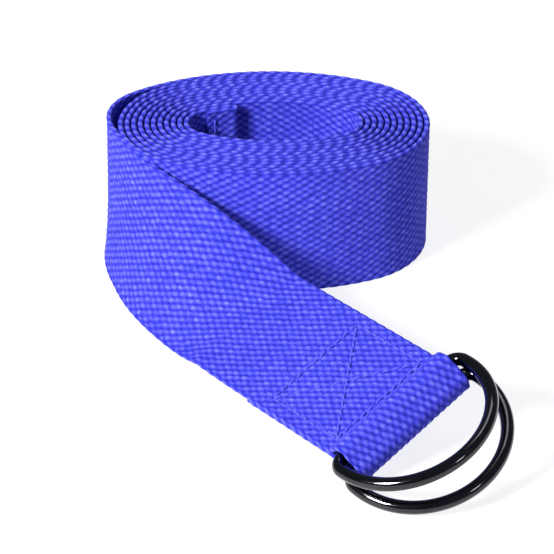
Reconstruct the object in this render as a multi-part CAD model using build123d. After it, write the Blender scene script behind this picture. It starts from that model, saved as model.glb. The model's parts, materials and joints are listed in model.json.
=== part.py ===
"""Stretching strap: a long flat web wound on edge, with two D-rings sewn into its free end.

Millimetres, +Z up. The web stands on its edge on the plane Z = 0. The roll is wound anticlockwise from
its inner end, seen from above, and the free end leaves it at -X and runs to +X, -Y.
"""
import math
import os

from build123d import *

os.makedirs("parts", exist_ok=True)

# ---------------------------------------------------------------- driving dimensions
# Web
web_width = 38.0
web_thickness = 1.6
layer_gap = 0.12             # between one layer of the roll and the next

# Roll: an oval spiral of side arcs and end arcs
turns = 11                   # whole turns, counted back side to back side
side_angle = 50.0            # swept by each long side; an end sweeps the rest of the half turn
side_radius = 47.1           # centreline, before the first turn
end_radius = 6.7
inner_end_setback = 14.0     # swept by the first side arc, from the cut inner end

# Loose outer turn: (length, turn to the left in degrees)
loose_turn = [(13.5, 14.9), (15.0, 43.5)]

# Free length, from the place where it flexes away from the roll:
# (length, bend about the web's width in degrees, twist about its length in degrees)
free_length = [
    (6.3, 13.5, -2.0),
    (25.4, 26.9, -19.0),
    (31.0, 20.6, -32.8),
    (15.6, -18.6, -19.0),
    (15.0, -4.5, 1.0),
]
tab_length = 48.5            # flat, from the last bend to the axis of the lower ring's bar
section_step = 7.0           # between the sections of the twisted stretch, at most

# Flex line between the roll and the free length
flex_gap = 0.3
flex_root = 1.0              # straight, from the flex line to the first bend

# D-rings
wire_diameter = 3.5
ring_side_gap = 1.0          # between each edge of the web and the ring's arm
ring_corner_radius = 3.4     # centreline
ring_arm = 1.0               # straight, between a corner and the bow
ring_setback = 3.4           # upper ring's bar behind the lower ring's
ring_rise = 3.2              # upper ring's bar above the lower ring's
ring_spread = 12.0           # degrees that the upper ring stands up from the lower one
bar_clearance = 0.35         # between a bar and the loop

# Seams
loop_overlap = 34.0          # of the folded end under the tab, behind the loop
seam_box_length = 26.0
seam_box_margin = 3.5        # from each edge of the web
seam_offset = 3.0            # from the loop's cavity to the first row
thread_width = 0.7
thread_height = 0.3
hem_length = 8.0
hem_seam_offset = 6.0        # from the cut edge
hem_seam_margin = 2.5        # from each edge of the web

# ---------------------------------------------------------------- plan of the roll
half = web_thickness / 2
turn_pitch = web_thickness + layer_gap
bar_radius = wire_diameter / 2
ring_inner_width = web_width + 2 * ring_side_gap
seam_box_width = web_width - 2 * seam_box_margin
cavity_radius = bar_radius + bar_clearance


def roll_arcs():
    """Each arc of the web's centreline, from the inner end to the flex line: (radius, degrees to the left).

    Four arcs make a turn, and each radius grows by a quarter of the pitch, so the layers stay one
    pitch apart all the way round.
    """
    end_angle = 180 - side_angle
    arcs = [(side_radius, side_angle / 2 - inner_end_setback)]
    for quarter in range(1, 4 * turns + 1):
        growth = turn_pitch * quarter / 4
        if quarter % 2:
            arcs.append((end_radius + growth, end_angle))
        else:
            arcs.append((side_radius + growth, side_angle))
    for length, turn in loose_turn:
        arcs.append((length / math.radians(turn), turn))
    return arcs


def lay_out(arcs):
    """Centre, radius, start angle and sweep of each arc, and the frame at the last one's end."""
    heading = 180 + side_angle / 2 - arcs[0][1]
    point = Vector(0, 0)
    laid = []
    for radius, turn in arcs:
        centre = point + Vector(0, radius).rotate(Axis.Z, heading)
        laid.append((centre, radius, heading - 90, turn))
        heading += turn
        point = centre - Vector(0, radius).rotate(Axis.Z, heading)
    return laid, Location((point.X, point.Y, web_width / 2), (0, 0, heading))


def side_of(arc, offset):
    """The edge that runs along an arc of the roll, this far to its outside."""
    centre, radius, start, sweep = arc
    return CenterArc(centre, radius + offset, start, sweep)


def make_roll(laid):
    """The wound web: outer side, square cut at the flex line, inner side, hem and folded nose."""
    centre, radius, start, sweep = laid[-1]
    short = math.degrees((half + flex_gap) / radius)
    laid = laid[:-1] + [(centre, radius, start, sweep - short)]
    outer = [side_of(arc, half) for arc in laid]
    inner = [side_of(arc, -half) for arc in laid]

    centre, radius, start, sweep = laid[0]
    hem_sweep = math.degrees(hem_length / radius)
    hem_side = CenterArc(centre, radius - half - web_thickness, start, hem_sweep)
    inner[0] = CenterArc(centre, radius - half, start + hem_sweep, sweep - hem_sweep)
    hem_cut = Line(hem_side @ 1, inner[0] @ 0)
    fold_centre = centre + Vector(radius - half, 0).rotate(Axis.Z, start)
    nose_tip = fold_centre + Vector(0, -web_thickness).rotate(Axis.Z, start)
    nose = ThreePointArc(outer[0] @ 0, nose_tip, hem_side @ 0)
    end_cut = Line(outer[-1] @ 1, inner[-1] @ 1)
    outline = Wire([*outer, end_cut, *reversed(inner), hem_cut, hem_side, nose])
    return extrude(Face(outline), amount=web_width, dir=(0, 0, 1))


def hem_thread(laid, offset):
    """A row of thread across the web, on the hem's inside or outside."""
    centre, radius, start, _ = laid[0]
    along = math.degrees(hem_seam_offset / radius)
    seat = centre + Vector(radius + offset, 0).rotate(Axis.Z, start + along)
    row = Box(thread_height, thread_width, web_width - 2 * hem_seam_margin)
    return Location((seat.X, seat.Y, web_width / 2), (0, 0, start + along)) * row


laid_arcs, flex_frame = lay_out(roll_arcs())
webbing_roll = make_roll(laid_arcs)
hem_needle_thread = hem_thread(laid_arcs, -half - web_thickness - thread_height / 2)
hem_bobbin_thread = hem_thread(laid_arcs, half - thread_height / 2)
webbing_roll -= hem_needle_thread + hem_bobbin_thread

# ---------------------------------------------------------------- free length
# A frame on the web's centreline: +X along the web, +Z across its width. Its +Y is the web's inside,
# which is the underside at the free end.


def bend_and_twist(frame, length, bend, twist):
    """The frame after an even bend about the web's width and an even twist about its length."""
    half_twist = Rot(twist / 2, 0, 0)
    half_bend = Rot(0, 0, bend / 2)
    return frame * half_twist * half_bend * Pos(length, 0, 0) * half_bend * half_twist


def free_frames(frame):
    """Frames along the twisted stretch, close enough for a smooth loft."""
    frames = [frame]
    for length, bend, twist in free_length:
        steps = math.ceil(length / section_step)
        for _ in range(steps):
            frame = bend_and_twist(frame, length / steps, bend / steps, twist / steps)
            frames.append(frame)
    return frames


def cross_section(frame):
    """The web's cut face at a frame."""
    return frame * (Plane.YZ * Rectangle(web_thickness, web_width))


lead_frames = free_frames(flex_frame * Pos(flex_root, 0, 0))
tab_frame = lead_frames[-1]
twisted_stretch = loft([cross_section(frame) for frame in lead_frames])
root_block = Pos(flex_root / 2, 0, 0) * Box(flex_root, web_thickness, web_width)
flex_nose = flex_frame * (Cylinder(half, web_width) + root_block)

# ---------------------------------------------------------------- sewn loop
# Its profile is drawn in the tab's own plane: X forwards from the tab's start, Y up out of its top face.
layer_joint = -half                                  # where the two layers of the tab meet
lower_bar = Vector(tab_length, layer_joint - ring_rise / 2)
upper_bar = lower_bar + Vector(-ring_setback, ring_rise)
cavity_apex = Vector(upper_bar.X - cavity_radius - seam_offset, layer_joint)
profile_plane = Plane((0, 0, 0), x_dir=(1, 0, 0), z_dir=(0, 0, -1))


def wrapped(radius, apex_radius):
    """The taut outline round both bars and the seam's end of the loop."""
    round_bars = [Pos(bar) * Circle(radius) for bar in (lower_bar, upper_bar)]
    edges = [edge for circle in round_bars for edge in circle.edges()]
    if apex_radius:
        edges += (Pos(cavity_apex) * Circle(apex_radius)).edges()
    else:
        edges.append(Line(cavity_apex, cavity_apex + Vector(0.01, 0)))
    return make_hull(edges)


def strip(start, end, low, high):
    """A rectangle of the profile."""
    return Pos((start + end) / 2, (low + high) / 2) * Rectangle(end - start, high - low)


tab_layer = strip(0, cavity_apex.X, -half, half)
folded_layer = strip(cavity_apex.X - loop_overlap, cavity_apex.X, -half - web_thickness, -half)
loop_outline = wrapped(cavity_radius + web_thickness, web_thickness)
loop_profile = tab_layer + folded_layer + loop_outline - wrapped(cavity_radius, 0)
sewn_tab = tab_frame * extrude(profile_plane * loop_profile, amount=web_width / 2, both=True)
webbing_lead = twisted_stretch + flex_nose + sewn_tab

# ---------------------------------------------------------------- box-and-cross seam
seam_front = cavity_apex.X - half
seam_back = seam_front - seam_box_length


def seam_pattern():
    """The seam's four sides and its cross, as one bead of thread."""
    middle = Pos((seam_front + seam_back) / 2, 0)
    inset_x = (seam_box_length - thread_width) / 2
    inset_y = (seam_box_width - thread_width) / 2
    slope = math.degrees(math.atan2(inset_y, inset_x))
    rows = [Pos(0, y) * Rectangle(seam_box_length, thread_width) for y in (-inset_y, inset_y)]
    rows += [Pos(x, 0) * Rectangle(thread_width, seam_box_width) for x in (-inset_x, inset_x)]
    diagonal = Rectangle(2 * math.hypot(inset_x, inset_y), thread_width)
    rows += [Rot(0, 0, turn) * diagonal for turn in (-slope, slope)]
    pattern = rows[0]
    for row in rows[1:]:
        pattern += row
    return middle * pattern


def seam_thread(seat, direction):
    """The bead on one face of the tab: seat is that face's depth below the tab's middle."""
    seam_plane = Plane((0, seat, 0), x_dir=(1, 0, 0), z_dir=(0, direction, 0))
    return tab_frame * extrude(seam_plane * seam_pattern(), amount=thread_height)


loop_needle_thread = seam_thread(-half, -1)
loop_bobbin_thread = seam_thread(half + web_thickness, 1)

# ---------------------------------------------------------------- D-rings
bow_radius = (ring_inner_width + wire_diameter) / 2
bow_centre = ring_corner_radius + ring_arm


def make_ring():
    """A ring with its bar's axis on Y and its bow towards +X."""
    bar_end = bow_radius - ring_corner_radius
    bar = Line((0, -bar_end), (0, bar_end))
    corner = JernArc(bar @ 1, (0, 1), ring_corner_radius, -90)
    arm = Line(corner @ 1, (bow_centre, bow_radius))
    bow = JernArc(arm @ 1, (1, 0), bow_radius, -180)
    far_arm = Line(bow @ 1, (ring_corner_radius, -bow_radius))
    far_corner = JernArc(far_arm @ 1, (-1, 0), ring_corner_radius, -90)
    path = Wire([bar, corner, arm, bow, far_arm, far_corner])
    return sweep(Plane.XZ * Circle(bar_radius), path=path)


def ring_plane(bar, angle):
    """A ring's place in the tab's frame: its bar in the loop, its bow turned up by this angle."""
    cosine, sine = math.cos(math.radians(angle)), math.sin(math.radians(angle))
    return Plane((bar.X, -bar.Y, 0), x_dir=(cosine, -sine, 0), z_dir=(-sine, -cosine, 0))


def ring_place(bar, angle):
    """The same place in the strap's own frame."""
    return tab_frame * ring_plane(bar, angle).location


def lowest_point(bar, angle):
    """Height of the bow's lowest point."""
    place = ring_place(bar, angle)
    origin = (place * Pos(bow_centre, 0)).position
    forward = (place * Pos(1, 0)).position - place.position
    across = (place * Pos(0, 1)).position - place.position
    return origin.Z - bow_radius * math.hypot(forward.Z, across.Z) - bar_radius


def resting_angle(bar):
    """The angle at which a ring's bow just touches the plane Z = 0."""
    low, high = -80.0, 0.0
    for _ in range(40):
        middle = (low + high) / 2
        if lowest_point(bar, middle) > 0:
            high = middle
        else:
            low = middle
    return high


lower_ring_angle = resting_angle(lower_bar)
d_ring_lower = ring_place(lower_bar, lower_ring_angle) * make_ring()
d_ring_upper = ring_place(upper_bar, lower_ring_angle + ring_spread) * make_ring()

# ---------------------------------------------------------------- origin and files
nodes = {
    "webbing_roll": webbing_roll,
    "webbing_lead": webbing_lead,
    "d_ring_upper": d_ring_upper,
    "d_ring_lower": d_ring_lower,
    "loop_needle_thread": loop_needle_thread,
    "loop_bobbin_thread": loop_bobbin_thread,
    "hem_needle_thread": hem_needle_thread,
    "hem_bobbin_thread": hem_bobbin_thread,
}
box = Compound(children=[Part(node.wrapped) for node in nodes.values()]).bounding_box(optimal=True)
to_origin = Pos(-box.center().X, -box.center().Y, -box.min.Z)
for name, node in nodes.items():
    export_step(to_origin * node, f"parts/{name}.step")
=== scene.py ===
import json
import math

import bpy
import numpy as np
from mathutils import Matrix, Vector


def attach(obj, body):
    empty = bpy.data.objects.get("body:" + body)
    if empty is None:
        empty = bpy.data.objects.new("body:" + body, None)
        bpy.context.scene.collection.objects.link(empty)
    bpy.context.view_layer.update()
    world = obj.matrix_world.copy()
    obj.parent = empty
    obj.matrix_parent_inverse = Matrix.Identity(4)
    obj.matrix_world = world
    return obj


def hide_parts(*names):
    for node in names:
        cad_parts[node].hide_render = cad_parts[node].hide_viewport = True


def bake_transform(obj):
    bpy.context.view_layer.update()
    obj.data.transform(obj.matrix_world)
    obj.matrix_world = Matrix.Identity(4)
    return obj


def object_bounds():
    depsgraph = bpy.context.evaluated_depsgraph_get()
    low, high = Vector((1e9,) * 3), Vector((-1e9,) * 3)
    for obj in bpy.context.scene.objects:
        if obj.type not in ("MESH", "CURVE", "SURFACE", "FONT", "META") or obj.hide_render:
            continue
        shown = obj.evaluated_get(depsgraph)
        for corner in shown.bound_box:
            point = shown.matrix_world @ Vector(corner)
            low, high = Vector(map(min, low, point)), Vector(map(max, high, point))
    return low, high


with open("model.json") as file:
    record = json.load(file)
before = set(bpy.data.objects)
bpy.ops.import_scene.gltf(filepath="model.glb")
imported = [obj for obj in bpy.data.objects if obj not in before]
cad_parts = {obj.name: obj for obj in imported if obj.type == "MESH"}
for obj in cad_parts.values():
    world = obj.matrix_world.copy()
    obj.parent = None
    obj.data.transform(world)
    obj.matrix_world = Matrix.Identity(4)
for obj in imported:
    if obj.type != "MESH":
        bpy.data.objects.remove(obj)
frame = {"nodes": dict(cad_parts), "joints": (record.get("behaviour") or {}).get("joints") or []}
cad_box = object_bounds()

MM = 0.001

# ---------------------------------------------------------------- the strap's sizes, in metres and degrees
# Web
WEB_WIDTH = 38.0 * MM
WEB_THICKNESS = 1.6 * MM
HALF = WEB_THICKNESS / 2
# Roll
TURNS = 11
SIDE_ANGLE = 50.0
SIDE_RADIUS = 46.1 * MM
END_RADIUS = 7.0 * MM
SIDE_GROWTH = 2.03 * MM      # of the radius, each turn
END_GROWTH = 1.69 * MM
INNER_END_SETBACK = 14.0
LOOSE_TURN = [(12.7 * MM, 14.1), (12.5 * MM, 44.3)]     # (length, bend)
# Free length: straight root, then (length, bend, twist), then the flat tab
FLEX_ROOT = 1.0 * MM
FREE_LENGTH = [
    (6.3 * MM, 13.5, -2.0),
    (25.4 * MM, 26.9, -19.0),
    (31.0 * MM, 20.6, -32.8),
    (15.6 * MM, -18.6, -19.0),
    (15.0 * MM, -4.5, 1.0),
]
TAB_LENGTH = 48.5 * MM
CREASE_RADIUS = 2.2 * MM     # where the tab and its folded end part round the bars
# D-rings
WIRE_RADIUS = 1.75 * MM
RING_INNER_WIDTH = 40.0 * MM
RING_CORNER_RADIUS = 3.4 * MM
RING_ARM = 1.0 * MM
RING_SETBACK = 3.4 * MM
RING_RISE = 3.2 * MM
BAR_CLEARANCE = 0.35 * MM
# Seams
LOOP_OVERLAP = 34.0 * MM
SEAM_BOX_LENGTH = 26.0 * MM
SEAM_BOX_WIDTH = 31.0 * MM
SEAM_OFFSET = 3.0 * MM
SEAM_DENT = 0.2 * MM         # how deep a row of stitches draws the web in
SEAM_SPREAD = 0.85 * MM      # and how far to each side
STITCH = 2.7 * MM
THREAD_WIDTH = 0.7 * MM
THREAD_LIFT = 0.12 * MM      # of a stitch's middle, out of the web
HEM_LENGTH = 8.0 * MM
HEM_SEAM_OFFSET = 6.0 * MM
HEM_SEAM_MARGIN = 2.5 * MM
# Where the web is divided into pieces
INNER_TURN = 118.0 * MM      # past the hem
OUTER_TURN = 262.0 * MM      # before the flex line
FREE_ROOT = 7.0 * MM         # before the flex line

# ---------------------------------------------------------------- weave
PICK = 1.73 * MM             # from one weft to the next, along the web
END = 1.06 * MM              # from one warp yarn to the next, across the web
FLOAT_LENGTH = 1.36 * MM     # half length of a warp yarn's visible float
FLOAT_WIDTH = 0.86 * MM      # and half its width
FLOAT_SLANT = math.radians(19)
GROUND = 0.48 * MM           # from the web's middle to the bottom of its weave
FLOAT_HEIGHT = HALF - GROUND
FLOAT_SHARE = 0.62           # of the relief that is floats; plain crossings give the rest
FLOAT_BLUNTNESS = 0.8        # 0.5 would be a half ellipse, 1 a parabola
PICK_WANDER = 0.15           # how far a float strays along the web, as a share of the spacing
END_WANDER = 0.16            # and across it
FLOAT_UNEVENNESS = 0.16      # from one float's height to the next
PICK_UNEVENNESS = 0.12       # from one row of floats to the next
BEAD_REACH = 0.28            # share of the selvedge's reach that comes and goes with its beads
BEAD_SWELL = 0.12            # and of its thickness
BEAD_LEAN = 0.16
EVEN_RELIEF = 0.3            # where the weave isn't modelled
SELVEDGE = 0.8 * MM          # how far the rounded edge runs in from the web's side
EDGE_HALF = 0.83 * MM        # half the selvedge's thickness
FINE_FACE = 120              # points across a face that shows
BACK_FACE = 36               # across one that is seldom seen
HIDDEN_FACE = 2              # across one that other layers hide
EDGE_POINTS = 7              # round one selvedge
FINE_STEP = 0.45 * MM        # from one station to the next along the web


def scatter(a, b):
    """An even spread from -1 to 1 that looks random, fixed by two whole numbers."""
    wave = np.sin(a * 12.9898 + b * 78.233) * 43758.5453
    return 2 * (wave - np.floor(wave)) - 1


def float_relief(along, across, back):
    """Height from 0 to 1 of the warp floats of a plain weave; the back shows those that the front hides."""
    relief_and_painted_shade = np.zeros(np.broadcast(along, across).shape)
    column = np.round(along / PICK)
    for step in (-1, 0, 1):
        pick = column + step
        parity = np.mod(pick + back, 2)
        end = 2 * np.round((across / END - parity) / 2) + parity
        gap_along = along - (pick + PICK_WANDER * scatter(pick, end)) * PICK
        gap_across = across - (end + END_WANDER * scatter(end, pick)) * END
        turned_along = gap_along * math.cos(FLOAT_SLANT) + gap_across * math.sin(FLOAT_SLANT)
        turned_across = gap_across * math.cos(FLOAT_SLANT) - gap_along * math.sin(FLOAT_SLANT)
        left = 1 - (turned_along / FLOAT_LENGTH) ** 2 - (turned_across / FLOAT_WIDTH) ** 2
        proud = 1 + FLOAT_UNEVENNESS * (scatter(pick + 7, end) - 1) - PICK_UNEVENNESS * np.mod(pick, 2)
        relief_and_painted_shade = np.maximum(relief_and_painted_shade, np.maximum(left, 0) ** FLOAT_BLUNTNESS * proud)
    crossing = np.cos(math.pi * along / PICK) * np.cos(math.pi * across / END) * (1 - 2 * back)
    return FLOAT_SHARE * relief_and_painted_shade + (1 - FLOAT_SHARE) * np.sqrt(0.5 + 0.5 * crossing)


# ---------------------------------------------------------------- the web's path
# A path in a plane is a list of (length, left turn in radians), walked from a point and a heading.


def walked(point, heading, length, turn):
    """Where an even arc ends."""
    if abs(turn) < 1e-9:
        return point + length * np.exp(1j * heading), heading
    radius = length / turn
    centre = point + 1j * radius * np.exp(1j * heading)
    return centre - 1j * radius * np.exp(1j * (heading + turn)), heading + turn


class PlanePath:
    """Arcs in a plane, read by the distance along them."""

    def __init__(self, point, heading, arcs):
        self.arcs, self.starts, self.ends = arcs, [], [0.0]
        for length, turn in arcs:
            self.starts.append((point, heading))
            self.ends.append(self.ends[-1] + length)
            point, heading = walked(point, heading, length, turn)
        self.length = self.ends[-1]
        self.last = (point, heading)

    def at(self, distance):
        index = int(np.searchsorted(self.ends, distance, side="right")) - 1
        index = min(max(index, 0), len(self.arcs) - 1)
        length, turn = self.arcs[index]
        part = distance - self.ends[index]
        return walked(*self.starts[index], part, turn * part / length)


def roll_arcs():
    """Side and end arcs in turn, each a little larger, from the inner end, and then the loose turn."""
    end_angle = 180 - SIDE_ANGLE
    turns = [(SIDE_RADIUS, SIDE_ANGLE / 2 - INNER_END_SETBACK)]
    for quarter in range(1, 4 * TURNS + 1):
        grown = quarter / 4
        turns.append((END_RADIUS + END_GROWTH * grown, end_angle) if quarter % 2
                     else (SIDE_RADIUS + SIDE_GROWTH * grown, SIDE_ANGLE))
    arcs = [(radius * math.radians(turn), math.radians(turn)) for radius, turn in turns]
    return arcs + [(length, math.radians(turn)) for length, turn in LOOSE_TURN]


def hem_arcs():
    """The folded hem's centreline, from its cut end to the fold."""
    turn = HEM_LENGTH / SIDE_RADIUS
    return [((SIDE_RADIUS - WEB_THICKNESS) * turn, -turn), (math.pi * HALF, math.pi)]


def wound_path(hem):
    """The hem and every turn, out to the flex line; the hem is walked back from its fold to its cut end."""
    arcs = roll_arcs()
    point, heading = 0j, math.radians(180 + SIDE_ANGLE / 2) - arcs[0][1] + math.pi
    for length, turn in reversed(hem):
        point, heading = walked(point, heading, length, -turn)
    return PlanePath(point, heading + math.pi, hem + arcs)


hem = hem_arcs()
HEM_PATH = sum(length for length, turn in hem)
spiral = wound_path(hem)

# The CAD's flex line gives the plan's place, and its height the middle of the web.
flex_joint = next(j for j in frame["joints"] if j["name"] == "free_end_swing")
flex = Vector(flex_joint["pos_m"])
plan_shift = complex(flex.x, flex.y) - spiral.last[0]


class Stations:
    """Places along the web: middle, three directions, distance, and place along the tab where it is flat."""

    def __init__(self):
        self.rows = []

    def add(self, middle, ahead, inside, across, distance, seam=None):
        self.rows.append((middle, ahead, inside, across, distance, math.nan if seam is None else seam))

    def arrays(self):
        middle, ahead, inside, across = (np.array([row[k] for row in self.rows], float) for k in range(4))
        distance, seam = (np.array([row[k] for row in self.rows], float) for k in (4, 5))
        return middle, ahead, inside, across, distance, seam


def spiral_stations(start, end, step):
    """Stations of the roll from one distance to another."""
    found = Stations()
    for distance in np.linspace(start, end, max(2, math.ceil((end - start) / step) + 1)):
        point, heading = spiral.at(distance)
        point += plan_shift
        ahead = (math.cos(heading), math.sin(heading), 0)
        inside = (-math.sin(heading), math.cos(heading), 0)
        found.add((point.real, point.imag, flex.z), ahead, inside, (0, 0, 1), distance)
    return found


def turned(frame_rows, axis, angle):
    """Three directions turned about one of them."""
    rows = frame_rows.copy()
    first, second = [(1, 2), (2, 0), (0, 1)][axis]
    rows[first] = frame_rows[first] * math.cos(angle) + frame_rows[second] * math.sin(angle)
    rows[second] = frame_rows[second] * math.cos(angle) - frame_rows[first] * math.sin(angle)
    return rows


def free_stations(found, distance):
    """Adds the twisted stretch, and returns the tab's start and directions."""
    heading = spiral.last[1]
    rows = np.array([
        [math.cos(heading), math.sin(heading), 0],
        [-math.sin(heading), math.cos(heading), 0],
        [0, 0, 1],
    ])
    middle = np.array(flex) + rows[0] * FLEX_ROOT
    distance += FLEX_ROOT
    found.add(middle, *rows, distance)
    for length, bend, twist in FREE_LENGTH:
        steps = math.ceil(length / FINE_STEP)
        half_bend = math.radians(bend) / steps / 2
        half_twist = math.radians(twist) / steps / 2
        for _ in range(steps):
            rows = turned(turned(rows, 0, half_twist), 2, half_bend)
            middle = middle + rows[0] * length / steps
            rows = turned(turned(rows, 2, half_bend), 0, half_twist)
            distance += length / steps
            found.add(middle, *rows, distance)
    return middle, rows, distance


# ---------------------------------------------------------------- the sewn loop's path
# In the tab's own plane: along the tab, and up out of its top face, as one complex number.
LOWER_BAR = complex(TAB_LENGTH, -HALF - RING_RISE / 2)
UPPER_BAR = LOWER_BAR + complex(-RING_SETBACK, RING_RISE)
CAVITY_RADIUS = WIRE_RADIUS + BAR_CLEARANCE
APEX = complex(UPPER_BAR.real - CAVITY_RADIUS - SEAM_OFFSET, -HALF)
WRAP_RADIUS = CAVITY_RADIUS + HALF


def loop_arcs():
    """The web from the tab's start, over both bars and back under the tab."""
    to_upper = UPPER_BAR - APEX.real
    rise = math.atan2(to_upper.imag, to_upper.real) + math.asin(WRAP_RADIUS / abs(to_upper))
    fall = math.atan2((LOWER_BAR - UPPER_BAR).imag, (LOWER_BAR - UPPER_BAR).real)
    under = complex(APEX.real, -WEB_THICKNESS)
    back = under - LOWER_BAR
    reach = math.atan2(-back.imag, -back.real)
    climb = math.asin(WRAP_RADIUS / abs(back)) - reach
    first_crease = CREASE_RADIUS * math.tan(rise / 2)
    last_crease = CREASE_RADIUS * math.tan(climb / 2)
    up_line = math.sqrt(abs(to_upper) ** 2 - WRAP_RADIUS ** 2)
    back_line = math.sqrt(abs(back) ** 2 - WRAP_RADIUS ** 2)
    return [
        (APEX.real - first_crease, 0.0),
        (CREASE_RADIUS * rise, rise),
        (up_line - first_crease, 0.0),
        (WRAP_RADIUS * (rise - fall), fall - rise),
        (abs(LOWER_BAR - UPPER_BAR), 0.0),
        (WRAP_RADIUS * (math.pi + climb + fall), -(math.pi + climb + fall)),
        (back_line - last_crease, 0.0),
        (CREASE_RADIUS * climb, climb),
        (LOOP_OVERLAP - last_crease, 0.0),
    ]


loop = PlanePath(0j, 0.0, loop_arcs())
LOOP_BACK = loop.length - LOOP_OVERLAP


def loop_stations(found, origin, rows, distance):
    """Adds the tab, the loop round the bars and the folded end under the tab."""
    for part in np.linspace(0, loop.length, math.ceil(loop.length / FINE_STEP) + 1)[1:]:
        point, heading = loop.at(part)
        middle = origin + rows[0] * point.real - rows[1] * point.imag
        ahead = rows[0] * math.cos(heading) - rows[1] * math.sin(heading)
        inside = rows[1] * math.cos(heading) + rows[0] * math.sin(heading)
        flat = part < APEX.real or part > LOOP_BACK
        found.add(middle, ahead, inside, rows[2], distance + part, point.real if flat else None)


# ---------------------------------------------------------------- seams
SEAM_FRONT = APEX.real - HALF
SEAM_BACK = SEAM_FRONT - SEAM_BOX_LENGTH
SEAM_MIDDLE = (SEAM_FRONT + SEAM_BACK) / 2
ROW_X = (SEAM_BOX_LENGTH - THREAD_WIDTH) / 2
ROW_Y = (SEAM_BOX_WIDTH - THREAD_WIDTH) / 2


def seam_rows():
    """The box's four sides and its cross, as (start, end) in the tab's plane: along it and across it."""
    left_back, left_front = complex(-ROW_X, -ROW_Y), complex(ROW_X, -ROW_Y)
    right_back, right_front = complex(-ROW_X, ROW_Y), complex(ROW_X, ROW_Y)
    rows = [
        (left_back, left_front), (left_front, right_front), (right_front, right_back),
        (right_back, left_back), (left_back, right_front), (left_front, right_back),
    ]
    return [(start + SEAM_MIDDLE, end + SEAM_MIDDLE) for start, end in rows]


def seam_dent(along, across):
    """How far the seam draws a face in, at points of the tab's plane."""
    deepest = np.zeros(np.broadcast(along, across).shape)
    spots = along + 1j * across
    for start, end in seam_rows():
        direction = (end - start) / abs(end - start)
        local = (spots - start) / direction
        beyond = np.maximum(np.maximum(-local.real, local.real - abs(end - start)), 0)
        away = np.hypot(beyond, local.imag)
        deepest = np.maximum(deepest, np.exp(-((away / SEAM_SPREAD) ** 2)))
    return deepest * SEAM_DENT


# ---------------------------------------------------------------- mesh makers


def new_piece(name, vertices, faces):
    """A smooth mesh object in the scene."""
    mesh = bpy.data.meshes.new(name)
    mesh.from_pydata(vertices, [], faces)
    mesh.shade_smooth()
    piece = bpy.data.objects.new(name, mesh)
    bpy.context.scene.collection.objects.link(piece)
    return piece


def tube_faces(stations, ring):
    """Quads round a tube, and a fan at each end from one more point; ring is the points at a station."""
    first = np.arange(stations - 1)[:, None] * ring
    here = np.arange(ring)[None, :]
    after = (here + 1) % ring
    quads = np.stack([first + here, first + ring + here, first + ring + after, first + after], -1)
    faces = quads.reshape(-1, 4).tolist()
    last, start_point = (stations - 1) * ring, stations * ring
    for k in range(ring):
        faces.append((start_point, k, (k + 1) % ring))
        faces.append((start_point + 1, last + (k + 1) % ring, last + k))
    return faces


def section(outside_points, inside_points):
    """The web's cut face, as (across, side, turn): side -1 is the outside, 1 the inside, 0 a selvedge."""
    reach = WEB_WIDTH / 2 - SELVEDGE
    bend = np.linspace(0, math.pi, EDGE_POINTS + 2)[1:-1]
    rows = [(v, -1, 0.0) for v in np.linspace(-reach, reach, outside_points)]
    rows += [(reach, 0, turn) for turn in bend]
    rows += [(v, 1, 0.0) for v in np.linspace(reach, -reach, inside_points)]
    rows += [(-reach, 0, math.pi + turn) for turn in bend]
    return (np.array(column) for column in zip(*rows))


def selvedge_bead(distance, turn, phase):
    """Height from 0 to 1 of the beads that the weft makes as it turns round the edge yarn."""
    lean = BEAD_LEAN * np.cos(turn)
    return np.abs(np.cos(math.pi * (distance / (2 * PICK) + phase / 2 + lean))) ** FLOAT_BLUNTNESS


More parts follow.
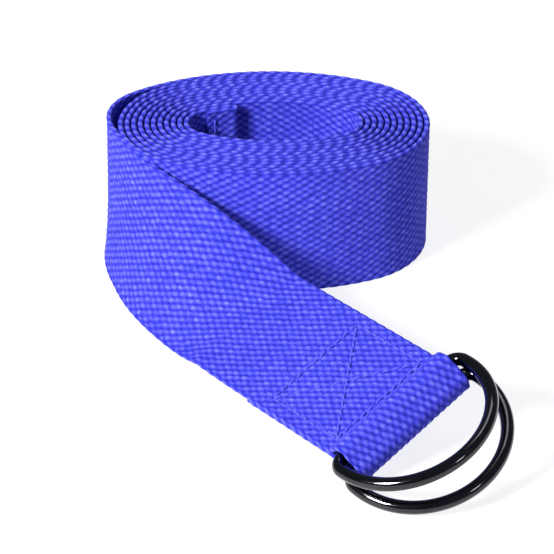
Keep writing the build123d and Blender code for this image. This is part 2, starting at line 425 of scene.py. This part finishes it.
def web(name, stations, outside_points, inside_points):
    """A length of the web as a closed mesh, woven on its faces and beaded on its selvedges."""
    middle, ahead, inside, across_dir, distance, seam = stations.arrays()
    v, side, turn = section(outside_points, inside_points)
    s = distance[:, None]
    depth = np.zeros((len(distance), len(v)))
    relief_and_painted_shade = np.zeros_like(depth)
    lateral = np.repeat(v[None, :], len(distance), 0)
    for face, back in ((-1, 0), (1, 1)):
        on = side == face
        height = np.full((len(distance), on.sum()), EVEN_RELIEF)
        if on.sum() > HIDDEN_FACE:
            height = float_relief(s, v[None, on], back)
        rise = GROUND + FLOAT_HEIGHT * height
        if face == -1:
            sewn = ~np.isnan(seam)
            rise[sewn] -= seam_dent(seam[sewn][:, None], v[None, on])
        depth[:, on] = face * rise
        # The weave's height is also kept as a mask for painted shade in its hollows and a painted highlight
        # on its crowns.
        relief_and_painted_shade[:, on] = height
    edge = side == 0
    phase = (np.sign(v[edge]) > 0).astype(float)[None, :]
    bead = selvedge_bead(s, turn[edge][None, :], phase)
    lateral[:, edge] += np.sin(turn[edge]) * SELVEDGE * (1 - BEAD_REACH + BEAD_REACH * bead)
    depth[:, edge] = -np.cos(turn[edge]) * EDGE_HALF * (0.92 + BEAD_SWELL * bead)
    # Painted shade between the selvedge's beads and in the grooves where it meets the faces, and a painted
    # highlight on the beads' tops.
    relief_and_painted_shade[:, edge] = (0.22 + 0.78 * bead ** 2) * np.abs(np.sin(turn[edge]))
    points = (
        middle[:, None, :]
        + across_dir[:, None, :] * lateral[:, :, None]
        + inside[:, None, :] * depth[:, :, None]
    )
    vertices = np.vstack([points.reshape(-1, 3), points[0].mean(0), points[-1].mean(0)])
    piece = new_piece(name, vertices.tolist(), tube_faces(*depth.shape))
    mesh = piece.data
    # The mask goes to the material, which paints shade and highlight from it.
    relief_and_painted_shade_values = np.append(relief_and_painted_shade.ravel(), [EVEN_RELIEF, EVEN_RELIEF]).astype(np.float32)
    mesh.attributes.new("relief_and_painted_shade", "FLOAT", "POINT").data.foreach_set("value", relief_and_painted_shade_values)
    path = np.repeat(distance, len(v))
    place = np.stack([np.append(path, [path[0], path[-1]]), np.append(lateral.ravel(), [0, 0])], -1)
    corners = np.zeros(len(mesh.loops), np.int32)
    mesh.loops.foreach_get("vertex_index", corners)
    weave_map = mesh.uv_layers.new(name="weave")
    weave_map.data.foreach_set("uv", (place[corners] / (10 * MM)).astype(np.float32).ravel())
    return piece


def stitch_bead(start, end, direction):
    """One stitch as points and faces: a thread that rises out of the web and goes back in."""
    steps, round_points, radius = 6, 6, THREAD_WIDTH / 2
    along = (end - start).normalized()
    aside = along.cross(direction).normalized()
    points, faces = [], []
    for k in range(steps + 1):
        arch = math.sin(math.pi * k / steps)
        height = THREAD_LIFT * arch ** 0.6 - radius * (1 - arch ** 0.5)
        centre = start.lerp(end, k / steps) + direction * height
        size = radius * (0.72 + 0.28 * arch)
        for q in range(round_points):
            angle = 2 * math.pi * q / round_points
            points.append(centre + aside * math.cos(angle) * size + direction * math.sin(angle) * size)
    for k in range(steps):
        for q in range(round_points):
            a, b = k * round_points + q, k * round_points + (q + 1) % round_points
            faces.append((a, a + round_points, b + round_points, b))
    faces.append(tuple(range(round_points)))
    faces.append(tuple(reversed(range(steps * round_points, (steps + 1) * round_points))))
    return points, faces


def stitches(name, lines, direction):
    """Rows of stitches as one piece. Each line is (start, end), and its thread stands up along direction."""
    vertices, faces = [], []
    for start, end in lines:
        count = max(1, round((end - start).length / STITCH))
        for k in range(count):
            a = start.lerp(end, (k + 0.06) / count)
            b = start.lerp(end, (k + 0.94) / count)
            points, quads = stitch_bead(a, b, direction)
            base = len(vertices)
            vertices += [tuple(p) for p in points]
            faces += [tuple(base + i for i in quad) for quad in quads]
    return new_piece(name, vertices, faces)


# ---------------------------------------------------------------- the web's pieces
BODY_START = HEM_PATH + INNER_TURN
OUTER_START = spiral.length - OUTER_TURN
LEAD_START = spiral.length - FREE_ROOT

inner_turn = web("inner_turn", spiral_stations(0, BODY_START, FINE_STEP), FINE_FACE, FINE_FACE)
wound_web = web("wound_web", spiral_stations(BODY_START, OUTER_START, FINE_STEP), HIDDEN_FACE, HIDDEN_FACE)
outer_turn = web("outer_turn", spiral_stations(OUTER_START, LEAD_START, FINE_STEP), FINE_FACE, BACK_FACE)

lead_stations = spiral_stations(LEAD_START, spiral.length, FINE_STEP)
tab_origin, tab_rows, tab_distance = free_stations(lead_stations, spiral.length)
loop_stations(lead_stations, tab_origin, tab_rows, tab_distance)
free_web = web("free_web", lead_stations, FINE_FACE, BACK_FACE)

tab_at = Vector(tab_origin)
tab_ahead, tab_under, tab_across = (Vector(row) for row in tab_rows)


def on_tab(spot, depth):
    """A point of the tab's plane, this far below its middle."""
    return tab_at + tab_ahead * spot.real + tab_across * spot.imag + tab_under * depth


def loop_stitches(name, depth, direction):
    """The box and its cross, on the tab or under its folded end."""
    return stitches(name, [(on_tab(a, depth), on_tab(b, depth)) for a, b in seam_rows()], direction)


loop_needle = loop_stitches("loop_needle_stitches", SEAM_DENT - HALF, -tab_under)
loop_bobbin = loop_stitches("loop_bobbin_stitches", HALF + WEB_THICKNESS - SEAM_DENT, tab_under)


def hem_stitches(name, depth, sign):
    """The hem's row across the web, on its inside or its outside."""
    point, heading = spiral.at(HEM_PATH + HEM_SEAM_OFFSET)
    point += plan_shift
    inside = Vector((-math.sin(heading), math.cos(heading), 0))
    seat = Vector((point.real, point.imag, flex.z)) + inside * depth
    reach = Vector((0, 0, WEB_WIDTH / 2 - HEM_SEAM_MARGIN))
    return stitches(name, [(seat - reach, seat + reach)], inside * sign)


hem_needle = hem_stitches("hem_needle_stitches", HALF + WEB_THICKNESS - THREAD_LIFT, 1)
hem_bobbin = hem_stitches("hem_bobbin_stitches", -HALF + 2 * THREAD_LIFT, -1)

# ---------------------------------------------------------------- D-rings
BOW_RADIUS = RING_INNER_WIDTH / 2 + WIRE_RADIUS
BOW_CENTRE = RING_CORNER_RADIUS + RING_ARM
RING_STEP = 0.5 * MM
WIRE_POINTS = 28


def straight(ahead, across):
    """Extrudes the wire's open end."""
    bpy.ops.mesh.extrude_region_move(TRANSFORM_OT_translate={"value": (ahead, across, 0)})


def bend(ahead, across, radius, angle):
    """Spins the wire's open end round this centre, to its right."""
    steps = round(radius * angle / RING_STEP)
    bpy.ops.mesh.spin(steps=steps, angle=angle, center=(ahead, across, 0), axis=(0, 0, 1))


def bent_wire():
    """A ring's wire, from the middle of its bar: the bar on the second axis, the bow out along the first."""
    half_bar = BOW_RADIUS - RING_CORNER_RADIUS
    straight(0, half_bar)
    bend(RING_CORNER_RADIUS, half_bar, RING_CORNER_RADIUS, math.pi / 2)
    straight(RING_ARM, 0)
    bend(BOW_CENTRE, 0, BOW_RADIUS, math.pi)
    straight(-RING_ARM, 0)
    bend(RING_CORNER_RADIUS, -half_bar, RING_CORNER_RADIUS, math.pi / 2)
    straight(0, half_bar)


def ring_piece(name, bar, angle):
    """A ring in its place in the loop, its bow turned up by this angle."""
    bpy.ops.object.select_all(action="DESELECT")
    bpy.ops.mesh.primitive_circle_add(vertices=WIRE_POINTS, radius=WIRE_RADIUS, rotation=(math.pi / 2, 0, 0))
    bpy.ops.object.transform_apply(location=True, rotation=True, scale=True)
    bpy.ops.object.mode_set(mode="EDIT")
    bent_wire()
    bpy.ops.mesh.select_all(action="SELECT")
    bpy.ops.mesh.remove_doubles(threshold=0.001 * MM)
    bpy.ops.mesh.normals_make_consistent(inside=False)
    bpy.ops.object.mode_set(mode="OBJECT")
    bpy.ops.object.shade_smooth()
    ring = bpy.context.active_object
    ring.name = ring.data.name = name
    ahead = tab_ahead * math.cos(angle) - tab_under * math.sin(angle)
    seat = tab_at + tab_ahead * bar.real - tab_under * bar.imag
    place = Matrix((ahead, tab_across, ahead.cross(tab_across))).transposed().to_4x4()
    ring.data.transform(Matrix.Translation(seat) @ place)
    return ring


def measured_angle(node, bar):
    """A ring's angle in the CAD, from the middle of its node's mesh."""
    mesh = frame["nodes"][node].data
    middle = sum((v.co for v in mesh.vertices), Vector()) / len(mesh.vertices)
    away = middle - (tab_at + tab_ahead * bar.real - tab_under * bar.imag)
    return math.atan2(-away.dot(tab_under), away.dot(tab_ahead))


lower_ring = ring_piece("lower_ring_wire", LOWER_BAR, measured_angle("d_ring_lower", LOWER_BAR))
upper_ring = ring_piece("upper_ring_wire", UPPER_BAR, measured_angle("d_ring_upper", UPPER_BAR))

# ---------------------------------------------------------------- materials


class Value:
    """A socket of a material's nodes; arithmetic on it adds Math nodes."""

    def __init__(self, finish, socket):
        self.finish, self.socket = finish, socket

    def maths(self, operation, first, second):
        return self.finish.node("ShaderNodeMath", {"operation": operation}, {0: first, 1: second})

    def __add__(self, other):
        return self.maths("ADD", self, other)

    __radd__ = __add__

    def __sub__(self, other):
        return self.maths("SUBTRACT", self, other)

    def __rsub__(self, other):
        return self.maths("SUBTRACT", other, self)

    def __mul__(self, other):
        return self.maths("MULTIPLY", self, other)

    __rmul__ = __mul__


class Finish:
    """A material with a Principled shader, and one method that adds any other node."""

    def __init__(self, name, **shader):
        self.material = bpy.data.materials.new(name)
        self.material.use_nodes = True
        self.tree = self.material.node_tree
        self.shader = next(n for n in self.tree.nodes if n.type == "BSDF_PRINCIPLED")
        self.set(**shader)

    def feed(self, node, inputs):
        for key, value in inputs.items():
            if isinstance(value, Value):
                self.tree.links.new(value.socket, node.inputs[key])
            else:
                node.inputs[key].default_value = value

    def node(self, kind, settings=None, inputs=None, output=0):
        made = self.tree.nodes.new(kind)
        settings = dict(settings or {})
        stops = settings.pop("stops", None)
        for key, value in settings.items():
            setattr(made, key, value)
        if stops:
            ramp = made.color_ramp
            while len(ramp.elements) < len(stops):
                ramp.elements.new(0.5)
            for element, (position, colour) in zip(ramp.elements, stops):
                element.position, element.color = position, colour
        self.feed(made, inputs or {})
        return Value(self, made.outputs[output])

    def set(self, **inputs):
        self.feed(self.shader, {key.replace("_", " ").title(): value for key, value in inputs.items()})


def colour(red, green, blue):
    return (red, green, blue, 1.0)


# The darkest blue is painted shade in the weave's hollows and the selvedge's grooves; the lightest is a
# painted highlight on the crowns, mixed with the fibres' own paler colour.
PAINTED_SHADE_BLUE = colour(0.007, 0.008, 0.25)
MID_BLUE = colour(0.028, 0.031, 0.47)
LIGHT_BLUE = colour(0.093, 0.100, 0.60)
FIBRE_AND_HIGHLIGHT_BLUE = colour(0.24, 0.25, 0.78)
THREAD_BLUE = colour(0.056, 0.060, 0.58)
SHEEN_BLUE = colour(0.3, 0.3, 1.0)


def cotton(name):
    """Coarse woven cotton: painted shade between its yarns, a painted highlight on their crowns, and faint
    hairs on them.
    """
    finish = Finish(name, roughness=0.9, sheen_weight=0.08, sheen_roughness=0.5, sheen_tint=SHEEN_BLUE)
    finish.feed(finish.shader, {"Specular IOR Level": 0.25})
    relief_and_painted_shade = finish.node("ShaderNodeAttribute", {"attribute_name": "relief_and_painted_shade"}, output="Fac")
    place = finish.node("ShaderNodeUVMap", {"uv_map": "weave"})
    body = finish.node("ShaderNodeTexCoord", output="Object")
    fibre = finish.node(
        "ShaderNodeTexNoise", inputs={"Vector": place, "Scale": 13.0, "Detail": 6.0, "Roughness": 0.7})
    blotch = finish.node("ShaderNodeTexNoise", inputs={"Vector": body, "Scale": 90.0, "Detail": 3.0})
    twist = finish.node(
        "ShaderNodeTexWave", {"bands_direction": "DIAGONAL"},
        {"Vector": place, "Scale": 11.0, "Distortion": 2.5, "Detail": 2.0, "Detail Scale": 3.0}, output="Fac")
    # The tone paints shade in the hollows and the selvedge's grooves and a highlight on the crowns, from the
    # relief mask; the noises add the yarn's own uneven colour.
    tone = relief_and_painted_shade * 0.85 + (fibre - 0.5) * 0.85 + (blotch - 0.5) * 0.16 + (twist - 0.5) * 0.12
    shade = finish.node("ShaderNodeValToRGB", {"stops": [
        (0.05, PAINTED_SHADE_BLUE), (0.42, MID_BLUE), (0.78, LIGHT_BLUE), (1.0, FIBRE_AND_HIGHLIGHT_BLUE)]}, {"Fac": tone})
    grain = relief_and_painted_shade * 0.15 + fibre * 0.5 + twist * 0.6
    bump = finish.node("ShaderNodeBump", inputs={"Strength": 0.5, "Distance": 0.12 * MM, "Height": grain})
    finish.set(base_color=shade, normal=bump)
    return finish.material


def sewing_thread(name):
    """Spun thread of the web's own colour, twisted and slightly shiny."""
    finish = Finish(name, roughness=0.55, sheen_weight=0.1)
    body = finish.node("ShaderNodeTexCoord", output="Object")
    ply = finish.node(
        "ShaderNodeTexWave", {"bands_direction": "DIAGONAL"},
        {"Vector": body, "Scale": 1400.0, "Distortion": 1.0}, output="Fac")
    shade = finish.node("ShaderNodeValToRGB", {"stops": [(0.0, MID_BLUE), (1.0, THREAD_BLUE)]}, {"Fac": ply})
    bump = finish.node("ShaderNodeBump", inputs={"Strength": 0.5, "Distance": 0.05 * MM, "Height": ply})
    finish.set(base_color=shade, normal=bump)
    return finish.material


def black_plating(name):
    """Bright black plated steel, with faint rub marks."""
    finish = Finish(name, metallic=1.0, coat_roughness=0.04)
    body = finish.node("ShaderNodeTexCoord", output="Object")
    rub = finish.node("ShaderNodeTexNoise", inputs={"Vector": body, "Scale": 260.0, "Detail": 5.0})
    scratch = finish.node("ShaderNodeTexNoise", inputs={"Vector": body, "Scale": 1800.0, "Detail": 2.0})
    shade = finish.node("ShaderNodeValToRGB", {"stops": [
        (0.35, colour(0.014, 0.013, 0.016)), (0.75, colour(0.034, 0.032, 0.038))]}, {"Fac": rub})
    bump = finish.node("ShaderNodeBump", inputs={"Strength": 0.12, "Distance": 0.02 * MM, "Height": scratch})
    finish.set(base_color=shade, roughness=0.05 + rub * 0.14, coat_weight=0.9 - rub * 0.3, normal=bump)
    return finish.material


web_cotton = cotton("web_cotton")
thread = sewing_thread("seam_thread")
plating = black_plating("ring_plating")


def dress(piece, material):
    """Gives a piece its material."""
    piece.data.materials.append(material)


# ---------------------------------------------------------------- bodies and replaced solids
for piece in (inner_turn, wound_web, outer_turn):
    dress(piece, web_cotton)
    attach(piece, "roll")
    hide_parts("webbing_roll")
OUTER_START - BODY_START

dress(free_web, web_cotton)
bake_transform(free_web)
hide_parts("webbing_lead")
lead_length = tab_distance + loop.length - LEAD_START

for piece, body, node in (
    (loop_needle, "free_end", "loop_needle_thread"),
    (loop_bobbin, "free_end", "loop_bobbin_thread"),
    (hem_needle, "roll", "hem_needle_thread"),
    (hem_bobbin, "roll", "hem_bobbin_thread"),
):
    dress(piece, thread)
    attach(piece, body)
    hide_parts(node)
for piece, body, node in (
    (upper_ring, "upper_ring", "d_ring_upper"),
    (lower_ring, "lower_ring", "d_ring_lower"),
):
    dress(piece, plating)
    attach(piece, body)
    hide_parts(node)

# ---------------------------------------------------------------- floor, light and camera


def pale_floor():
    """A large pale floor under the strap."""
    bpy.ops.object.select_all(action="DESELECT")
    bpy.ops.mesh.primitive_plane_add(size=6.0, location=(0, 0, cad_box[0].z))
    floor = bpy.context.active_object
    floor.name = "floor"
    finish = Finish("pale_floor", base_color=colour(0.2, 0.2, 0.205), roughness=0.7,
                    emission_color=colour(1.0, 1.0, 1.0), emission_strength=0.84)
    floor.data.materials.append(finish.material)


def soft_light(name, place, aim, size, power):
    """A square soft box, pointed at a place."""
    lamp = bpy.data.lights.new(name, "AREA")
    lamp.size, lamp.energy = size, power
    light = bpy.data.objects.new(name, lamp)
    light.location = place
    light.rotation_euler = (Vector(aim) - Vector(place)).to_track_quat("-Z", "Y").to_euler()
    bpy.context.scene.collection.objects.link(light)


def studio():
    """A bright even room, one main soft box at the left, and two weak ones for the rings' gleam."""
    world = bpy.data.worlds.new("studio")
    world.use_nodes = True
    background = next(n for n in world.node_tree.nodes if n.type == "BACKGROUND")
    background.inputs["Color"].default_value = colour(0.72, 0.80, 1.0)
    background.inputs["Strength"].default_value = 0.2
    bpy.context.scene.world = world
    soft_light("key", (-0.74, -0.61, 0.66), (0, 0, 0), 0.3, 29.0)
    soft_light("top", (0.1, 0.35, 1.2), (0, 0, 0), 0.5, 2.5)
    soft_light("sparkle", (0.55, -0.75, 0.62), (0, 0, 0), 0.16, 1.2)


# The camera looks at a point just in front of the roll, from a little to the right of -Y.
VIEW_AZIMUTH = math.radians(0.6)
VIEW_ELEVATION = math.radians(32.16)
VIEW_DISTANCE = 716.1 * MM
AIM_FROM_FLEX = Vector((47.3, -32.3, -15.9)) * MM
SENSOR_WIDTH = 36.0
LENS = 167.6


def photographer():
    """The camera, with a long lens."""
    camera = bpy.data.cameras.new("camera")
    camera.sensor_width, camera.lens = SENSOR_WIDTH, LENS
    camera.clip_start, camera.clip_end = 0.01, 20.0
    stand = bpy.data.objects.new("camera", camera)
    level = math.cos(VIEW_ELEVATION)
    back = Vector((level * math.sin(VIEW_AZIMUTH), -level * math.cos(VIEW_AZIMUTH), math.sin(VIEW_ELEVATION)))
    stand.location = flex + AIM_FROM_FLEX + back * VIEW_DISTANCE
    stand.rotation_euler = (-back).to_track_quat("-Z", "Y").to_euler()
    bpy.context.scene.collection.objects.link(stand)
    bpy.context.scene.camera = stand


pale_floor()
studio()
photographer()
bpy.context.scene.view_settings.view_transform = "Standard"
